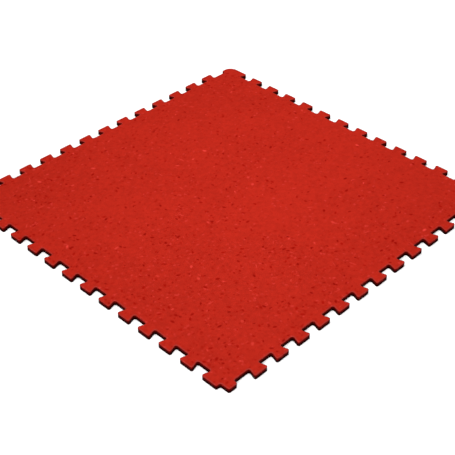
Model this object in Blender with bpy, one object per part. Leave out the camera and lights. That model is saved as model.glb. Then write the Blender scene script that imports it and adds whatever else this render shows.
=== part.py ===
"""Interlocking PVC floor tile: one flat moulded square with thirteen dovetail tabs on each side.

Metres, +Z up. The tile lies flat, its underside on Z = 0 and its centre on the Z axis. Tiles are
laid on a square grid of MODULE, all turned the same way: each tab drops into the socket between
two tabs of the next tile, because opposite sides are half a pitch out of step.

Each side is drawn in its own frame: s runs along the side, anticlockwise seen from above, from the
corner of the plain square inside the tabs, and n points outwards from that square's edge.
"""

import math

import bmesh
import bpy
from mathutils import Vector

# Driving dimensions
MODULE = 0.500  # centre to centre of two laid tiles
PITCHES = 14  # tab pitches in one module
THICKNESS = 0.007
TAB_DEPTH = 0.0125
TAB_HEAD = 0.0215  # width across the sharp corners of a tab's tip
HEAD_RADIUS = 0.0022  # at the corners of a tip
ROOT_RADIUS = 0.0024  # at the corners of a socket
SEAM = 0.0003  # clearance between two laid tiles
FLANK_PLAY = 0.00035  # clearance along the side, at each flank of a tab
CORNER_BLOCK = 0.0070  # how far a corner's half-depth block runs along its side
DOME_RADIUS = 0.0135  # the one corner that is rounded off
HORN_REACH = 0.0045  # how far the corner that takes the dome reaches round it
HORN_RADIUS = 0.0010
EDGE_BEVEL = 0.0005  # softened edge round the tread face
ARC_ERROR = 0.00008  # most that a chord may leave its arc

# Sizes that follow
PITCH = MODULE / PITCHES
TAB_COUNT = PITCHES - 1
SQUARE = MODULE - TAB_DEPTH - SEAM  # side of the plain square inside the tabs
TAB_NECK = PITCH - TAB_HEAD - 2 * FLANK_PLAY
FIRST_TAB = (SQUARE + PITCH / 2 - (TAB_COUNT - 1) * PITCH) / 2
HALF_DEPTH = TAB_DEPTH / 2
BLOCK_END = CORNER_BLOCK - SEAM / 2
STEP = SQUARE - CORNER_BLOCK - SEAM / 2  # where the last tab steps down to the corner block

SIDES = ("front", "right", "back", "left")
DOME_AFTER = "right"  # the dome stands at the far end of this side
HORN_BEFORE = "left"  # the horn stands at the near end of this side

# Finish
PVC_RED = (0.53, 0.021, 0.011, 1.0)
PVC_ROUGHNESS = 0.5


def arc_points(centre, radius, start, end):
    """Points along an arc from angle start to angle end, both included."""
    step = 2 * math.acos(1 - ARC_ERROR / radius)
    count = max(2, math.ceil(abs(end - start) / step - 1e-6))
    angles = [start + (end - start) * i / count for i in range(count + 1)]
    return [centre + radius * Vector((math.cos(a), math.sin(a))) for a in angles]


def rounded(corners):
    """The closed outline through (point, radius) corners, each rounded to its radius."""
    outline = []
    for i, (point, radius) in enumerate(corners):
        if not radius:
            outline.append(point)
            continue
        back = (corners[i - 1][0] - point).normalized()
        ahead = (corners[(i + 1) % len(corners)][0] - point).normalized()
        half_angle = back.angle(ahead) / 2
        centre = point + (back + ahead).normalized() * (radius / math.sin(half_angle))
        start = point + back * (radius / math.tan(half_angle)) - centre
        turn = math.copysign(math.pi - 2 * half_angle, back.cross(ahead) * -1)
        first = math.atan2(start.y, start.x)
        outline += arc_points(centre, radius, first, first + turn)
    return outline


def horn_start():
    """Near end of the left side: a horn hollowed to take the dome of the next tile."""
    hollow = DOME_RADIUS + SEAM
    centre = Vector((DOME_RADIUS - HALF_DEPTH, hollow))
    reach = math.acos((hollow - HORN_REACH) / hollow)
    curve = arc_points(centre, hollow, -math.pi / 2 - reach, -math.pi / 2)
    corners = [(Vector((-HALF_DEPTH, HORN_REACH)), HORN_RADIUS), (curve[0], HORN_RADIUS)]
    return corners + [(point, 0) for point in curve[1:]]


def side_start(name):
    """Corners from the tile's corner to the foot of the corner block."""
    if name == HORN_BEFORE:
        return horn_start()
    if SIDES[SIDES.index(name) - 1] == DOME_AFTER:
        corner = (Vector((-TAB_DEPTH, HALF_DEPTH)), DOME_RADIUS)
    else:
        corner = (Vector((-HALF_DEPTH, HALF_DEPTH)), HEAD_RADIUS)
    return [
        corner,
        (Vector((BLOCK_END, HALF_DEPTH)), HEAD_RADIUS),
        (Vector((BLOCK_END, 0)), ROOT_RADIUS),
    ]


def side_corners(name):
    """All corners of one side: its corner block, twelve whole tabs and the last tab."""
    corners = side_start(name)
    for i in range(TAB_COUNT):
        middle = FIRST_TAB + i * PITCH
        corners.append((Vector((middle - TAB_NECK / 2, 0)), ROOT_RADIUS))
        corners.append((Vector((middle - TAB_HEAD / 2, TAB_DEPTH)), HEAD_RADIUS))
        if i < TAB_COUNT - 1:
            corners.append((Vector((middle + TAB_HEAD / 2, TAB_DEPTH)), HEAD_RADIUS))
            corners.append((Vector((middle + TAB_NECK / 2, 0)), ROOT_RADIUS))
    if name != DOME_AFTER:
        corners.append((Vector((STEP, TAB_DEPTH)), HEAD_RADIUS))
        corners.append((Vector((STEP, HALF_DEPTH)), ROOT_RADIUS))
    return corners


def to_plan(point, quarter_turns):
    """A point of a side's frame, seen from above: x to the right and y to the back."""
    x = point.x - SQUARE / 2
    y = -point.y - SQUARE / 2
    for _ in range(quarter_turns):
        x, y = -y, x
    return Vector((x, y))


def tile_outline():
    """The tile's outline, anticlockwise seen from above."""
    corners = []
    for turns, name in enumerate(SIDES):
        corners += [(to_plan(point, turns), radius) for point, radius in side_corners(name)]
    return rounded(corners)


def pvc_material():
    """Red PVC, moulded with a satin surface."""
    material = bpy.data.materials.new("red_pvc")
    material.use_nodes = True
    shader = material.node_tree.nodes["Principled BSDF"]
    shader.inputs["Base Color"].default_value = PVC_RED
    shader.inputs["Roughness"].default_value = PVC_ROUGHNESS
    shader.inputs["Metallic"].default_value = 0.0
    return material


def build_tile():
    """The tile as one closed solid: the outline extruded, and its upper edge bevelled."""
    shape = bmesh.new()
    bottom = shape.faces.new([shape.verts.new((p.x, p.y, 0)) for p in tile_outline()])
    extruded = bmesh.ops.extrude_face_region(shape, geom=[bottom])["geom"]
    top_verts = [item for item in extruded if isinstance(item, bmesh.types.BMVert)]
    bmesh.ops.translate(shape, verts=top_verts, vec=(0, 0, THICKNESS))
    top_edges = [item for item in extruded if isinstance(item, bmesh.types.BMEdge)]
    bmesh.ops.bevel(shape, geom=top_edges, offset=EDGE_BEVEL, segments=1, affect="EDGES")
    bmesh.ops.recalc_face_normals(shape, faces=shape.faces)

    mesh = bpy.data.meshes.new("floor_tile")
    shape.to_mesh(mesh)
    shape.free()
    mesh.materials.append(pvc_material())
    mesh.shade_smooth()
    mesh.set_sharp_from_angle(angle=math.radians(40))
    tile = bpy.data.objects.new("floor_tile", mesh)
    bpy.context.scene.collection.objects.link(tile)


def main():
    for leftover in list(bpy.data.objects):
        bpy.data.objects.remove(leftover)
    build_tile()


main()
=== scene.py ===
"""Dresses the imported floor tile: a fine outline, a rounded rim, flecked red PVC and a plain studio.

The tile is one moulding. Its outline is traced corner by corner, rounded, raised to the tile's
thickness and softened along its upper rim. Metres, +Z up, the underside on Z = 0.
"""
import logging
import math
from collections.abc import Callable, Iterable
from dataclasses import dataclass, field
from enum import Enum
from typing import Any

import bmesh
import bpy
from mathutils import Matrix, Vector
from mathutils.kdtree import KDTree


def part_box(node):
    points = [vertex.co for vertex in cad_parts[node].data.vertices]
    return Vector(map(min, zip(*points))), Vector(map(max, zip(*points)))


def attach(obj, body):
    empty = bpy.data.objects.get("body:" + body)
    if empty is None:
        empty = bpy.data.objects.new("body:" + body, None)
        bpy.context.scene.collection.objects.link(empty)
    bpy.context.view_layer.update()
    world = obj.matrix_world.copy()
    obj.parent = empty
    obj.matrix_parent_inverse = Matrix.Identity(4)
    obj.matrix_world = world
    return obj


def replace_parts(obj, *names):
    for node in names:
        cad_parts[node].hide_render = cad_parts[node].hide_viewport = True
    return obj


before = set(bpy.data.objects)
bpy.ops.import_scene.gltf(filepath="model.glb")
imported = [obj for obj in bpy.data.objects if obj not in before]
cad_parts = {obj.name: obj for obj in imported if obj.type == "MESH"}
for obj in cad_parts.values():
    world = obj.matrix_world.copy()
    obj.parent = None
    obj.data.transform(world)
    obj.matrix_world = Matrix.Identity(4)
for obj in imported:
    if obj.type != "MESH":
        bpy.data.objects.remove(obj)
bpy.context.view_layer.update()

TILE_NODE = "floor_tile"
BODY = "root"
SAME_PLACE = 1e-5  # metres within which two points count as one

# Sockets of a Mix node that blends colours, which share their names with its other sockets
MIX_FACTOR, MIX_FIRST, MIX_SECOND = 0, 6, 7
MIX_RESULT = 2

LOG = logging.getLogger("floor_tile_scene")

Colour = tuple[float, float, float, float]
Place = tuple[float, float, float]
Span = tuple[float, float]
Socket = bpy.types.NodeSocket


class Part(Enum):
    """What a selection in edit mode is made of."""

    VERTEX = "VERT"
    EDGE = "EDGE"
    FACE = "FACE"


class Side(Enum):
    """The four sides of the tile, anticlockwise seen from above, by quarter turns."""

    FRONT = 0
    RIGHT = 1
    BACK = 2
    LEFT = 3


class Zone(Enum):
    """The parts of the moulding's skin, each with its own finish and material slot."""

    TREAD = 0
    RIM = 1
    WALL = 2
    UNDERSIDE = 3


def use_edit_mode(piece: bpy.types.Object) -> None:
    """Make one piece active and open it in edit mode.

    Args:
        piece: The mesh object to edit.
    """
    if bpy.context.mode != "OBJECT":
        bpy.ops.object.mode_set(mode="OBJECT")
    bpy.ops.object.select_all(action="DESELECT")
    piece.select_set(True)
    bpy.context.view_layer.objects.active = piece
    bpy.ops.object.mode_set(mode="EDIT")


def select_where(piece: bpy.types.Object, part: Part, wanted: Callable[[Any], bool]) -> int:
    """Select the vertices, edges or faces of a piece that pass a test, and nothing else.

    Args:
        piece: The mesh object, which is in edit mode.
        part: Whether vertices, edges or faces are tested.
        wanted: The test, which is given one vertex, edge or face.

    Returns:
        How many were selected.
    """
    bpy.ops.mesh.select_mode(type=part.value)
    bpy.ops.mesh.select_all(action="DESELECT")
    shape = bmesh.from_edit_mesh(piece.data)
    items = {Part.VERTEX: shape.verts, Part.EDGE: shape.edges, Part.FACE: shape.faces}[part]
    chosen = [item for item in items if wanted(item)]
    for item in chosen:
        item.select_set(True)
    shape.select_flush_mode()
    bmesh.update_edit_mesh(piece.data)
    return len(chosen)


def near_any(places: Iterable[Vector]) -> Callable[[Any], bool]:
    """A test for vertices that stand at one of several places, whatever their height.

    Args:
        places: The places, in plan.

    Returns:
        A test that takes a vertex.
    """
    listed = [Vector((place.x, place.y, 0)) for place in places]
    tree = KDTree(len(listed))
    for index, place in enumerate(listed):
        tree.insert(place, index)
    tree.balance()
    return lambda vert: tree.find(Vector((vert.co.x, vert.co.y, 0)))[2] < SAME_PLACE


@dataclass(frozen=True)
class Corner:
    """One corner of the outline, in plan, and the radius that it is rounded to."""

    place: Vector
    radius: float = 0.0


@dataclass
class TileOutline:
    """The tile seen from above: a plain square, and on each side a row of dovetail tabs.

    A side is drawn in its own frame: s runs along it, anticlockwise, from the corner of the plain
    square, and n points outwards from the square's edge.
    """

    over_tabs: float
    tab_count: int = 13
    tab_depth: float = 0.0125
    tab_head: float = 0.0215  # across the sharp corners of a tab's tip
    head_radius: float = 0.0022
    root_radius: float = 0.0024
    seam: float = 0.0003  # between two laid tiles
    flank_play: float = 0.00035  # along the side, at each flank of a tab
    corner_block: float = 0.0070  # length of a corner's half-depth block
    dome_radius: float = 0.0135
    dome_after: Side = Side.RIGHT
    horn_reach: float = 0.0045  # how far the horn goes round the next tile's dome
    horn_radius: float = 0.0010
    horn_before: Side = Side.LEFT
    hollow_steps: int = 12

    @property
    def square(self) -> float:
        """Side of the plain square inside the tabs."""
        return self.over_tabs - 2 * self.tab_depth

    @property
    def pitch(self) -> float:
        """Distance from one tab to the next: a laid module holds one pitch more than tabs."""
        return (self.square + self.tab_depth + self.seam) / (self.tab_count + 1)

    @property
    def first_tab(self) -> float:
        """Middle of a side's first tab, half a pitch out of step with the opposite side."""
        return (self.square + self.pitch / 2 - (self.tab_count - 1) * self.pitch) / 2

    def tab_middles(self) -> list[float]:
        """Middles of a side's tabs, as lengths along the side."""
        return [self.first_tab + index * self.pitch for index in range(self.tab_count)]

    def horn_start(self) -> list[Corner]:
        """The horn at a side's near end, hollowed to take the dome of the next tile.

        Returns:
            Its corners, the last ones along the hollow without rounding.
        """
        hollow = self.dome_radius + self.seam
        centre = Vector((self.dome_radius - self.tab_depth / 2, hollow))
        reach = math.acos((hollow - self.horn_reach) / hollow)
        angles = [reach * step / self.hollow_steps for step in range(self.hollow_steps, -1, -1)]
        curve = [centre - hollow * Vector((math.sin(a), math.cos(a))) for a in angles]
        tip = Corner(Vector((-self.tab_depth / 2, self.horn_reach)), self.horn_radius)
        return [tip, Corner(curve[0], self.horn_radius)] + [Corner(place) for place in curve[1:]]

    def side_start(self, side: Side) -> list[Corner]:
        """Corners from the tile's corner to the foot of the half-depth block.

        Args:
            side: The side that is drawn.

        Returns:
            The corners, in the side's frame.
        """
        if side is self.horn_before:
            return self.horn_start()
        half = self.tab_depth / 2
        end = self.corner_block - self.seam / 2
        before = Side((side.value - 1) % len(Side))
        if before is self.dome_after:
            corner = Corner(Vector((-self.tab_depth, half)), self.dome_radius)
        else:
            corner = Corner(Vector((-half, half)), self.head_radius)
        block = Corner(Vector((end, half)), self.head_radius)
        return [corner, block, Corner(Vector((end, 0)), self.root_radius)]

    def side_corners(self, side: Side) -> list[Corner]:
        """All corners of one side: its corner block, its whole tabs and the last one's step.

        Args:
            side: The side that is drawn.

        Returns:
            The corners in order, in the side's frame.
        """
        corners = self.side_start(side)
        neck = self.pitch - self.tab_head - 2 * self.flank_play
        for middle in self.tab_middles():
            corners += [
                Corner(Vector((middle - neck / 2, 0)), self.root_radius),
                Corner(Vector((middle - self.tab_head / 2, self.tab_depth)), self.head_radius),
                Corner(Vector((middle + self.tab_head / 2, self.tab_depth)), self.head_radius),
                Corner(Vector((middle + neck / 2, 0)), self.root_radius),
            ]
        del corners[-2:]  # the last tab runs on into the next corner
        if side is not self.dome_after:
            step = self.square - self.corner_block - self.seam / 2
            corners.append(Corner(Vector((step, self.tab_depth)), self.head_radius))
            corners.append(Corner(Vector((step, self.tab_depth / 2)), self.root_radius))
        return corners

    def corners(self) -> list[Corner]:
        """All corners of the tile in plan.

        Returns:
            The corners, anticlockwise, with the tile's centre at the origin.
        """
        found = []
        for side in Side:
            for corner in self.side_corners(side):
                x, y = corner.place.x - self.square / 2, -corner.place.y - self.square / 2
                for _ in range(side.value):
                    x, y = -y, x
                found.append(Corner(Vector((x, y)), corner.radius))
        return found


@dataclass(frozen=True)
class Noise:
    """One noise texture: how many waves it has to the metre, and how much finer detail."""

    scale: float
    detail: float


class NodeSheet:
    """Adds nodes to one node tree, in columns, and joins them."""

    column_width = 220
    row_height = 240
    rows = 4

    def __init__(self, tree: bpy.types.NodeTree) -> None:
        """Start on an empty stretch of the tree."""
        self.tree = tree
        self.count = 0

    def add(self, kind: str, inputs: dict[str | int, Any] | None = None, **settings: Any) -> Any:
        """Add one node, set it up and feed it.

        Args:
            kind: The node's type name.
            inputs: Values or sockets for its inputs, by input name or number.
            **settings: Values for the node's own properties.

        Returns:
            The node.
        """
        node = self.tree.nodes.new(kind)
        for name, value in settings.items():
            setattr(node, name, value)
        column, row = divmod(self.count, self.rows)
        node.location = (self.column_width * column, -self.row_height * row)
        self.count += 1
        for key, value in (inputs or {}).items():
            if isinstance(value, Socket):
                self.tree.links.new(value, node.inputs[key])
            else:
                node.inputs[key].default_value = value
        return node

    def maths(self, operation: str, *values: Any) -> Socket:
        """The result of one Math node on values or sockets."""
        return self.add("ShaderNodeMath", dict(enumerate(values)), operation=operation).outputs[0]

    def vector_maths(self, operation: str, *values: Any, output: str = "Vector") -> Socket:
        """One output of a Vector Math node on values or sockets."""
        fed = dict(enumerate(values))
        return self.add("ShaderNodeVectorMath", fed, operation=operation).outputs[output]

    def remap(self, value: Any, low: Any, high: Any, to_low: Any = 0.0, to_high: Any = 1.0) -> Socket:
        """A smooth step of a value from one range to another.

        Args:
            value: What is remapped.
            low: Where the step starts.
            high: Where the step ends.
            to_low: The result below the step.
            to_high: The result above the step.

        Returns:
            The remapped value.
        """
        fed = {"Value": value, "From Min": low, "From Max": high, "To Min": to_low, "To Max": to_high}
        node = self.add("ShaderNodeMapRange", fed, interpolation_type="SMOOTHSTEP")
        return node.outputs["Result"]

    def blend(self, factor: Any, first: Any, second: Any) -> Socket:
        """A colour between two colours."""
        fed = {MIX_FACTOR: factor, MIX_FIRST: first, MIX_SECOND: second}
        return self.add("ShaderNodeMix", fed, data_type="RGBA").outputs[MIX_RESULT]

    def noise(self, vector: Socket, noise: Noise) -> Socket:
        """The value of a noise texture, from about 0.25 to 0.75."""
        fed = {"Vector": vector, "Scale": noise.scale, "Detail": noise.detail}
        return self.add("ShaderNodeTexNoise", fed).outputs["Fac"]


@dataclass(frozen=True)
class ChipField:
    """Node group: chips of one size, scattered through the PVC and each turned its own way."""

    name: str = "chip_field"
    smallest: float = 0.5  # smallest chip, as a share of the stated size
    size_range: float = 0.8  # added to that share for the largest chip
    edge_waves: float = 1.3  # waves of a chip's ragged edge over its width
    tone_steps: float = 7.0  # how often the tones repeat from the smallest chip to the largest

    def tree(self) -> bpy.types.NodeTree:
        """The group, built on its first use.

        Returns:
            The node tree, with the inputs Vector, Spacing, Length, Width, Share, Softness and
            Ragged, and the outputs Mask and Tone.
        """
        if self.name in bpy.data.node_groups:
            return bpy.data.node_groups[self.name]
        tree = bpy.data.node_groups.new(self.name, "ShaderNodeTree")
        tree.interface.new_socket("Vector", in_out="INPUT", socket_type="NodeSocketVector")
        for title in ("Spacing", "Length", "Width", "Share", "Softness", "Ragged"):
            tree.interface.new_socket(title, in_out="INPUT", socket_type="NodeSocketFloat")
        for title in ("Mask", "Tone"):
            tree.interface.new_socket(title, in_out="OUTPUT", socket_type="NodeSocketFloat")
        self._fill(NodeSheet(tree))
        return tree

    def _fill(self, sheet: NodeSheet) -> None:
        """Put the group's nodes on its sheet.

        Args:
            sheet: The empty sheet of the group's tree.
        """
        given = sheet.add("NodeGroupInput").outputs
        scale = sheet.maths("DIVIDE", 1.0, given["Spacing"])
        cells = sheet.add("ShaderNodeTexVoronoi", {"Vector": given["Vector"], "Scale": scale})
        drawn = sheet.add("ShaderNodeTexWhiteNoise", {"Vector": cells.outputs["Color"]}).outputs["Color"]
        chance = sheet.add("ShaderNodeSeparateColor", {"Color": drawn}).outputs
        offset = sheet.vector_maths("SUBTRACT", given["Vector"], cells.outputs["Position"])
        angle = sheet.maths("MULTIPLY", chance["Red"], math.tau)
        turned = sheet.add("ShaderNodeVectorRotate", {"Vector": offset, "Angle": angle},
                           rotation_type="Z_AXIS").outputs["Vector"]
        size = sheet.maths("MULTIPLY_ADD", chance["Green"], self.size_range, self.smallest)
        length = sheet.maths("MULTIPLY", given["Length"], size)
        width = sheet.maths("MULTIPLY", given["Width"], size)
        reach = sheet.add("ShaderNodeCombineXYZ", {"X": length, "Y": width, "Z": width}).outputs[0]
        ratio = sheet.vector_maths("DIVIDE", turned, reach)
        distance = sheet.vector_maths("LENGTH", ratio, output="Value")
        grit = sheet.maths("DIVIDE", self.edge_waves, given["Width"])
        rough = sheet.add("ShaderNodeTexNoise", {"Vector": given["Vector"], "Scale": grit}).outputs["Fac"]
        uneven = sheet.maths("MULTIPLY", sheet.maths("SUBTRACT", rough, 0.5), given["Ragged"])
        ragged = sheet.maths("ADD", distance, uneven)
        inner = sheet.maths("SUBTRACT", 1.0, given["Softness"])
        outer = sheet.maths("ADD", 1.0, given["Softness"])
        inside = sheet.remap(ragged, inner, outer, 1.0, 0.0)
        there = sheet.maths("LESS_THAN", chance["Blue"], given["Share"])
        mask = sheet.maths("MULTIPLY", inside, there)
        tone = sheet.maths("FRACT", sheet.maths("MULTIPLY", chance["Green"], self.tone_steps))
        sheet.add("NodeGroupOutput", {"Mask": mask, "Tone": tone})


@dataclass(frozen=True)
class MouldedGrain:
    """Node group: the fine skin that the mould leaves on the PVC, and its slow clouding."""

    name: str = "moulded_grain"
    pebble_scale: float = 620.0
    pebble_smoothness: float = 0.6
    pebble_height: float = 0.7
    skin: Noise = Noise(1500.0, 3.0)
    skin_height: float = 0.5
    wide_cloud: Noise = Noise(7.0, 2.0)
    wide_share: float = 0.6
    close_cloud: Noise = Noise(42.0, 3.0)
    close_share: float = 0.4
    mottle: Noise = Noise(210.0, 3.0)
    sheen: Noise = Noise(90.0, 4.0)

    def tree(self) -> bpy.types.NodeTree:
        """The group, built on its first use.

        Returns:
            The node tree, with the input Vector and the outputs Height, Cloud, Mottle and Sheen.
        """
        if self.name in bpy.data.node_groups:
            return bpy.data.node_groups[self.name]
        tree = bpy.data.node_groups.new(self.name, "ShaderNodeTree")
        tree.interface.new_socket("Vector", in_out="INPUT", socket_type="NodeSocketVector")
        for title in ("Height", "Cloud", "Mottle", "Sheen"):
            tree.interface.new_socket(title, in_out="OUTPUT", socket_type="NodeSocketFloat")
        self._fill(NodeSheet(tree))
        return tree

    def _fill(self, sheet: NodeSheet) -> None:
        """Put the group's nodes on its sheet.

        Args:
            sheet: The empty sheet of the group's tree.
        """
        vector = sheet.add("NodeGroupInput").outputs["Vector"]
        fed = {"Vector": vector, "Scale": self.pebble_scale, "Smoothness": self.pebble_smoothness}
        pebbles = sheet.add("ShaderNodeTexVoronoi", fed, feature="SMOOTH_F1").outputs["Distance"]
        skin = sheet.maths("MULTIPLY", sheet.noise(vector, self.skin), self.skin_height)
        height = sheet.maths("MULTIPLY_ADD", pebbles, self.pebble_height, skin)
        wide = sheet.maths("MULTIPLY", sheet.noise(vector, self.wide_cloud), self.wide_share)
        close = sheet.maths("MULTIPLY", sheet.noise(vector, self.close_cloud), self.close_share)
        sheet.add("NodeGroupOutput", {
            "Height": height,
            "Cloud": sheet.maths("ADD", wide, close),
            "Mottle": sheet.noise(vector, self.mottle),
            "Sheen": sheet.noise(vector, self.sheen),
        })


@dataclass(frozen=True)
class Chips:
    """One kind of chip mixed into the PVC: its size in metres, how many, and its two colours."""

    spacing: float
    length: float
    width: float
    share: float
    softness: float
    ragged: float
    dull: Colour
    vivid: Colour
    strength: float = 0.9


BRIGHT_BLOTS = Chips(
    spacing=0.0120, length=0.0024, width=0.0014, share=0.20, softness=0.50, ragged=1.0,
    dull=(0.44, 0.026, 0.016, 1), vivid=(0.62, 0.042, 0.032, 1))
LIGHT_FIBRES = Chips(
    spacing=0.0090, length=0.0042, width=0.0007, share=0.26, softness=0.60, ragged=0.6,
    dull=(0.42, 0.022, 0.014, 1), vivid=(0.50, 0.032, 0.022, 1))
LIGHT_CHIPS = Chips(
    spacing=0.0055, length=0.0018, width=0.0012, share=0.48, softness=0.50, ragged=0.8,
    dull=(0.38, 0.018, 0.011, 1), vivid=(0.46, 0.027, 0.020, 1))
DARK_GRIT = Chips(
    spacing=0.0052, length=0.0020, width=0.0013, share=0.50, softness=0.60, ragged=0.8,
    dull=(0.28, 0.006, 0.002, 1), vivid=(0.33, 0.011, 0.005, 1))
DARK_CHIPS = Chips(
    spacing=0.0060, length=0.0024, width=0.0013, share=0.30, softness=0.50, ragged=1.0,
    dull=(0.19, 0.001, 0.0001, 1), vivid=(0.29, 0.004, 0.001, 1))


@dataclass(frozen=True)
class PvcFinish:
    """Flecked PVC on one zone of the tile.

    Colours are linear. The PVC's own colour lies between low and high, by its clouding and
    mottling. Chips are denser where the clouding is low, and thin out from one end of the thinning
    direction to the other. Where a foot colour is given, the finish is painted darker from the tile's
    upper edge down to it: painted shade, darkest at the foot of the side walls.
    """

    name: str
    low: Colour
    high: Colour
    roughness: float
    specular: float
    grain: float
    chips: tuple[Chips, ...] = (BRIGHT_BLOTS, LIGHT_FIBRES, LIGHT_CHIPS, DARK_GRIT, DARK_CHIPS)
    cloud_span: Span = (0.38, 0.62)
    cloud_share: float = 0.3
    mottle_gain: float = 2.6
    mottle_base: float = -0.95
    thinning: Place = (2.5, 1.5, 0.0)  # the chips' density goes from dense to sparse along this
    dense: float = 1.25
    sparse: float = 0.65
    cluster_span: Span = (0.40, 0.60)
    clustered: float = 1.5
    loose: float = 0.5
    kind_shift: Place = (3.1, 1.7, 0.9)  # moves each kind of chip away from the others
    chip_depth: float = 0.25  # how far a chip is sunk, as a share of the relief
    relief: float = 0.00015
    sheen_span: Span = (0.3, 0.7)
    sheen_spread: float = 0.07
    # painted shade: the colour at the foot of the side walls
    foot: Colour | None = None
    wall_top: float = 0.007
    fade_span: Span = (0.1, 1.05)  # shares of the wall's height between foot and full colour
    fade_power: float = 2.0

    def material(self) -> bpy.types.Material:
        """The finish as a material.

        Returns:
            A new material on Object coordinates.
        """
        made = bpy.data.materials.new(self.name)
        made.use_nodes = True
        made.node_tree.nodes.clear()
        sheet = NodeSheet(made.node_tree)
        place = sheet.add("ShaderNodeTexCoord").outputs["Object"]
        grain = sheet.add("ShaderNodeGroup", {"Vector": place}, node_tree=MouldedGrain().tree()).outputs
        cloud = sheet.remap(grain["Cloud"], *self.cloud_span)
        across = sheet.vector_maths("DOT_PRODUCT", place, Vector(self.thinning), output="Value")
        thinned = sheet.remap(across, -1.0, 1.0, self.dense, self.sparse)
        cluster = sheet.remap(grain["Cloud"], *self.cluster_span, self.clustered, self.loose)
        density = sheet.maths("MULTIPLY", thinned, cluster)
        mottle = sheet.maths("MULTIPLY_ADD", grain["Mottle"], self.mottle_gain, self.mottle_base)
        shade = sheet.maths("MULTIPLY_ADD", cloud, self.cloud_share, mottle)
        colour = sheet.blend(shade, self.low, self.high)
        relief = grain["Height"]
        for index, chips in enumerate(self.chips):
            colour, relief = self._mix_in(sheet, chips, index, place, density, colour, relief)
        # painted shade: the side walls darken towards their foot
        if self.foot:
            colour = self._paint_shade_down(sheet, place, colour)
        glossiest, dullest = self.roughness - self.sheen_spread, self.roughness + self.sheen_spread
        spread = sheet.remap(grain["Sheen"], *self.sheen_span, glossiest, dullest)
        bump = sheet.add("ShaderNodeBump", {
            "Height": relief, "Strength": self.grain, "Distance": self.relief,
        })
        shader = sheet.add("ShaderNodeBsdfPrincipled", {
            "Base Color": colour, "Roughness": spread, "Normal": bump.outputs["Normal"],
            "Specular IOR Level": self.specular, "Metallic": 0.0,
        })
        sheet.add("ShaderNodeOutputMaterial", {"Surface": shader.outputs["BSDF"]})
        return made

    def _mix_in(self, sheet: NodeSheet, chips: Chips, index: int, place: Socket, density: Socket,
                colour: Socket, relief: Socket) -> tuple[Socket, Socket]:
        """Lay one kind of chip over the colour, and sink it a little into the relief.

        Args:
            sheet: The material's sheet.
            chips: The kind of chip.
            index: Its number, which moves it away from the other kinds.
            place: Object coordinates.
            density: How many chips there are, as a share of the usual number.
            colour: The colour so far.
            relief: The relief so far.

        Returns:
            The colour and the relief with the chips in them.
        """
        moved = sheet.vector_maths("ADD", place, Vector(self.kind_shift) * (index + 1))
        share = sheet.maths("MULTIPLY", density, chips.share)
        scattered = sheet.add("ShaderNodeGroup", node_tree=ChipField().tree(), inputs={
            "Vector": moved, "Share": share, "Spacing": chips.spacing, "Length": chips.length,
            "Width": chips.width, "Softness": chips.softness, "Ragged": chips.ragged,
        }).outputs
        own = sheet.blend(scattered["Tone"], chips.dull, chips.vivid)
        weight = sheet.maths("MULTIPLY", scattered["Mask"], chips.strength)
        sunk = sheet.maths("MULTIPLY_ADD", scattered["Mask"], -self.chip_depth, relief)
        return sheet.blend(weight, colour, own), sunk

    def _paint_shade_down(self, sheet: NodeSheet, place: Socket, colour: Socket) -> Socket:
        """Paint shade into a colour, darker from the upper edge of the tile to its foot.

        Args:
            sheet: The material's sheet.
            place: Object coordinates.
            colour: The colour at the upper edge.

        Returns:
            The colour with the painted shade in it.
        """
        height = sheet.add("ShaderNodeSeparateXYZ", {"Vector": place}).outputs["Z"]
        upper = sheet.remap(height, *(self.wall_top * share for share in self.fade_span))
        return sheet.blend(sheet.maths("POWER", upper, self.fade_power), self.foot, colour)


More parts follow.
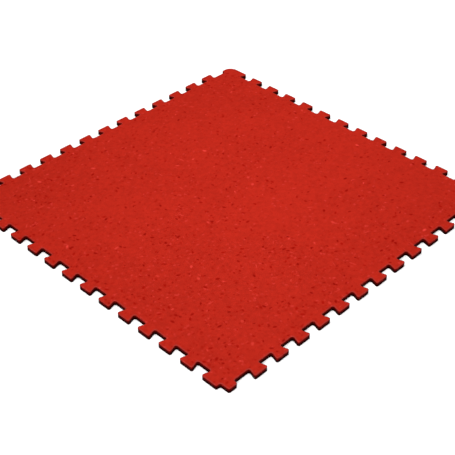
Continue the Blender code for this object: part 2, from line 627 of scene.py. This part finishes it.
@dataclass
class TileMoulding:
    """The whole tile: one moulding of flecked PVC with a rounded upper rim."""

    outline: TileOutline
    thickness: float
    rim_radius: float = 0.0005
    rim_segments: int = 3
    margin: float = 0.0013  # width of the tread face's edge that falls away
    roll_off: float = 0.0001  # how far it falls
    corner_segments: int = 8
    dome_segments: int = 24
    smooth_angle: float = math.radians(28)
    upright: float = 0.02  # most that a wall's normal may point up or down
    level: float = 0.999  # least that the tread face's normal points up
    finishes: dict[Zone, PvcFinish] = field(default_factory=dict)

    def build(self) -> bpy.types.Object:
        """Model the moulding, give it its finishes and stand it for the solid.

        Returns:
            The finished piece.
        """
        corners = self.outline.corners()
        piece = self._trace(corners)
        self._round(piece, corners)
        self._raise(piece)
        self._roll_off_margin(piece)
        self._soften_rim(piece)
        self._cut_cells(piece)
        self._dress(piece)
        self._shade(piece)
        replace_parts(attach(piece, BODY), TILE_NODE)
        return piece

    def _trace(self, corners: list[Corner]) -> bpy.types.Object:
        """Trace the outline as one flat face, corner by corner.

        Args:
            corners: The corners in order.

        Returns:
            The new piece, in edit mode.
        """
        bpy.ops.object.select_all(action="DESELECT")
        bpy.ops.mesh.primitive_plane_add(size=self.outline.pitch, location=(0, 0, 0))
        piece = bpy.context.object
        piece.name = piece.data.name = "tile_moulding"
        use_edit_mode(piece)
        bpy.ops.mesh.select_all(action="SELECT")
        bpy.ops.mesh.merge(type="CENTER")
        start = corners[0].place
        bpy.ops.transform.translate(value=(start.x, start.y, 0))
        for last, corner in zip(corners, corners[1:]):
            step = corner.place - last.place
            bpy.ops.mesh.extrude_vertices_move(TRANSFORM_OT_translate={"value": (step.x, step.y, 0)})
        select_where(piece, Part.VERTEX, near_any([start, corners[-1].place]))
        bpy.ops.mesh.edge_face_add()
        bpy.ops.mesh.select_all(action="SELECT")
        bpy.ops.mesh.edge_face_add()
        return piece

    def _round(self, piece: bpy.types.Object, corners: list[Corner]) -> None:
        """Round every corner of the flat face to its radius.

        Args:
            piece: The flat face, in edit mode.
            corners: Its corners in order.
        """
        groups: dict[float, list[Vector]] = {}
        for index, corner in enumerate(corners):
            if not corner.radius:
                continue
            back = corners[index - 1].place - corner.place
            ahead = corners[(index + 1) % len(corners)].place - corner.place
            tangent = corner.radius / math.tan(back.angle(ahead) / 2)
            groups.setdefault(round(tangent, 6), []).append(corner.place)
        for tangent, places in groups.items():
            select_where(piece, Part.VERTEX, near_any(places))
            dome = tangent > self.outline.tab_depth
            segments = self.dome_segments if dome else self.corner_segments
            bpy.ops.mesh.bevel(offset=tangent, segments=segments, affect="VERTICES", clamp_overlap=False)

    def _raise(self, piece: bpy.types.Object) -> None:
        """Raise the flat face to the tile's thickness, as a closed solid.

        Args:
            piece: The flat face, in edit mode.
        """
        select_where(piece, Part.FACE, lambda face: True)
        bpy.ops.mesh.extrude_region_move(TRANSFORM_OT_translate={"value": (0, 0, self.thickness)})
        bpy.ops.mesh.select_all(action="SELECT")
        bpy.ops.mesh.normals_make_consistent(inside=False)

    def _roll_off_margin(self, piece: bpy.types.Object) -> None:
        """Let the margin of the tread face fall away a little towards its outline.

        Args:
            piece: The solid, in edit mode.
        """
        select_where(piece, Part.FACE, self._zone_test(Zone.TREAD))
        bpy.ops.mesh.inset(thickness=self.margin, depth=0.0)
        select_where(piece, Part.EDGE, self._on_outline)
        bpy.ops.transform.translate(value=(0, 0, -self.roll_off))

    def _soften_rim(self, piece: bpy.types.Object) -> None:
        """Round the edge between the tread face and the side walls.

        Args:
            piece: The solid, in edit mode.
        """
        select_where(piece, Part.EDGE, self._on_outline)
        bpy.ops.mesh.bevel(offset=self.rim_radius, segments=self.rim_segments, affect="EDGES",
                           clamp_overlap=False)

    def _on_outline(self, edge: bmesh.types.BMEdge) -> bool:
        """Whether an edge is the upper edge of a side wall."""
        upper = all(vert.co.z > self.thickness / 2 for vert in edge.verts)
        return upper and sum(self._zone_test(Zone.WALL)(face) for face in edge.link_faces) == 1

    def _zone_test(self, zone: Zone) -> Callable[[bmesh.types.BMFace], bool]:
        """A test for the faces of one zone, by their slope.

        Args:
            zone: The zone.

        Returns:
            A test that takes a face.
        """
        tests = {
            Zone.TREAD: lambda face: face.normal.z > self.level,
            Zone.RIM: lambda face: self.upright < face.normal.z <= self.level,
            Zone.WALL: lambda face: abs(face.normal.z) <= self.upright,
            Zone.UNDERSIDE: lambda face: face.normal.z < -self.upright,
        }
        return tests[zone]

    def _cut_cells(self, piece: bpy.types.Object) -> None:
        """Cut the wide faces into cells along the middles of the tabs, both ways.

        Args:
            piece: The solid, in edit mode.
        """
        for middle in self.outline.tab_middles():
            place = middle - self.outline.square / 2
            for normal in ((1, 0, 0), (0, 1, 0)):
                bpy.ops.mesh.select_all(action="SELECT")
                bpy.ops.mesh.bisect(plane_co=(place, place, 0), plane_no=normal)

    def _dress(self, piece: bpy.types.Object) -> None:
        """Give each zone of the moulding its finish.

        Args:
            piece: The solid, in edit mode.
        """
        for zone in Zone:
            piece.data.materials.append(self.finishes[zone].material())
            count = select_where(piece, Part.FACE, self._zone_test(zone))
            piece.active_material_index = zone.value
            bpy.ops.object.material_slot_assign()
            LOG.info("zone %s: %d faces", zone.name.lower(), count)

    def _shade(self, piece: bpy.types.Object) -> None:
        """Shade the rounded stretches smooth, and keep the tread face flat up to its rim.

        Args:
            piece: The solid, in edit mode.
        """
        bpy.ops.object.mode_set(mode="OBJECT")
        bpy.ops.object.shade_smooth_by_angle(angle=self.smooth_angle)
        use_edit_mode(piece)
        on_rim = self._zone_test(Zone.RIM)
        select_where(piece, Part.EDGE, lambda edge: sum(on_rim(face) for face in edge.link_faces) == 1)
        bpy.ops.mesh.mark_sharp()
        bpy.ops.object.mode_set(mode="OBJECT")


@dataclass
class Studio:
    """A plain pale floor, soft light from above, and the camera at the photograph's angle."""

    floor_size: float = 60.0  # its edge is out of sight from 14 degrees above it and up
    floor_drop: float = 0.0002  # below the tile, so that the two faces don't meet
    floor_colour: Colour = (0.97, 0.97, 0.97, 1)
    floor_roughness: float = 0.9
    floor_specular: float = 0.1
    sky_colour: Colour = (1, 1, 1, 1)
    sky_strength: float = 0.11
    key_strength: float = 4.27
    key_angle: float = math.radians(100)
    key_turn: Place = (math.radians(16), math.radians(-34), 0.0)
    fill_power: float = 1.02
    fill_length: float = 0.7
    fill_width: float = 0.08
    fill_turn: Place = (0.0, 0.0, math.radians(45))
    fill_place: Place = (0.01, -0.015, 0.45)
    camera_place: Place = (-0.76673, -0.77256, 0.80167)
    camera_aim: Place = (-0.05070, -0.04901, 0.007)
    camera_roll: float = math.radians(-0.676)
    lens: float = 78.577  # millimetres
    sensor: float = 36.0  # millimetres

    def build(self) -> None:
        """Make the floor, the lights, the surround and the camera."""
        self._floor()
        self._key_light()
        self._fill_light()
        self._surround()
        self._camera()

    def _floor(self) -> None:
        """Lay the floor, which isn't part of the object."""
        bpy.ops.object.select_all(action="DESELECT")
        bpy.ops.mesh.primitive_plane_add(size=self.floor_size, location=(0, 0, -self.floor_drop))
        floor = bpy.context.object
        floor.name = floor.data.name = "floor"
        pale = bpy.data.materials.new("pale_floor")
        pale.use_nodes = True
        shader = pale.node_tree.nodes["Principled BSDF"]
        shader.inputs["Base Color"].default_value = self.floor_colour
        shader.inputs["Roughness"].default_value = self.floor_roughness
        shader.inputs["Specular IOR Level"].default_value = self.floor_specular
        floor.data.materials.append(pale)

    def _key_light(self) -> None:
        """Hang a wide soft light overhead."""
        key = bpy.data.lights.new("key_light", "SUN")
        key.energy = self.key_strength
        key.angle = self.key_angle
        lamp = bpy.data.objects.new("key_light", key)
        lamp.rotation_euler = self.key_turn
        bpy.context.scene.collection.objects.link(lamp)

    def _fill_light(self) -> None:
        """Hang a long low lamp over the tile, in line with its front and back corners."""
        fill = bpy.data.lights.new("fill_light", "AREA")
        fill.energy = self.fill_power
        fill.shape = "RECTANGLE"
        fill.size = self.fill_length
        fill.size_y = self.fill_width
        panel = bpy.data.objects.new("fill_light", fill)
        panel.location = self.fill_place
        panel.rotation_euler = self.fill_turn
        bpy.context.scene.collection.objects.link(panel)

    def _surround(self) -> None:
        """Light the scene a little from all round."""
        world = bpy.data.worlds.new("studio")
        world.use_nodes = True
        surround = world.node_tree.nodes["Background"]
        surround.inputs["Color"].default_value = self.sky_colour
        surround.inputs["Strength"].default_value = self.sky_strength
        bpy.context.scene.world = world

    def _camera(self) -> None:
        """Stand the camera where the photograph was taken from."""
        lens = bpy.data.cameras.new("camera")
        lens.lens = self.lens
        lens.sensor_width = self.sensor
        sight = Vector(self.camera_aim) - Vector(self.camera_place)
        turn = sight.to_track_quat("-Z", "Y").to_euler()
        turn.rotate_axis("Z", self.camera_roll)
        camera = bpy.data.objects.new("camera", lens)
        camera.location = self.camera_place
        camera.rotation_euler = turn
        bpy.context.scene.collection.objects.link(camera)
        bpy.context.scene.camera = camera


def finishes(thickness: float) -> dict[Zone, PvcFinish]:
    """The finish of each zone of the tile.

    Args:
        thickness: The tile's thickness, from where the painted shade darkens the walls.

    Returns:
        One finish for each zone.
    """
    low, high = (0.322, 0.0129, 0.0063, 1), (0.384, 0.0160, 0.0079, 1)
    tread = PvcFinish("pvc_tread", low, high, roughness=0.65, specular=0.015, grain=0.35)
    # rim: painted shade, darker than the tread, where a rounder edge would turn away from the light
    rim = PvcFinish(
        "pvc_rim_painted_shade", (0.262, 0.0150, 0.0092, 1), (0.292, 0.0180, 0.0112, 1),
        roughness=0.5, specular=0.12, grain=0.15)
    # side walls: the tread's PVC painted much darker as shade, and darker still towards the foot
    wall = PvcFinish(
        "pvc_wall_painted_shade", (0.13, 0.002, 0.0008, 1), (0.15, 0.0025, 0.0010, 1),
        roughness=0.8, specular=0.01, grain=0.30, chips=(LIGHT_CHIPS, DARK_GRIT),
        foot=(0.008, 0.0002, 0.0002, 1), wall_top=thickness)
    underside = PvcFinish("pvc_underside", low, high, roughness=0.65, specular=0.08, grain=0.5)
    return {Zone.TREAD: tread, Zone.RIM: rim, Zone.WALL: wall, Zone.UNDERSIDE: underside}


def main() -> None:
    """Build the tile and the studio, in order."""
    logging.basicConfig(level=logging.INFO, format="%(name)s: %(message)s")
    bpy.context.scene.view_settings.view_transform = "Standard"
    low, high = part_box(TILE_NODE)
    thickness = high.z - low.z
    outline = TileOutline(over_tabs=high.x - low.x)
    tile = TileMoulding(outline, thickness, finishes=finishes(thickness)).build()
    LOG.info("%s: %d faces, pitch %.2f mm", tile.name, len(tile.data.polygons), outline.pitch * 1000)
    Studio().build()
    LOG.info("studio: floor, light and camera")


if __name__ == "__main__":
    main()
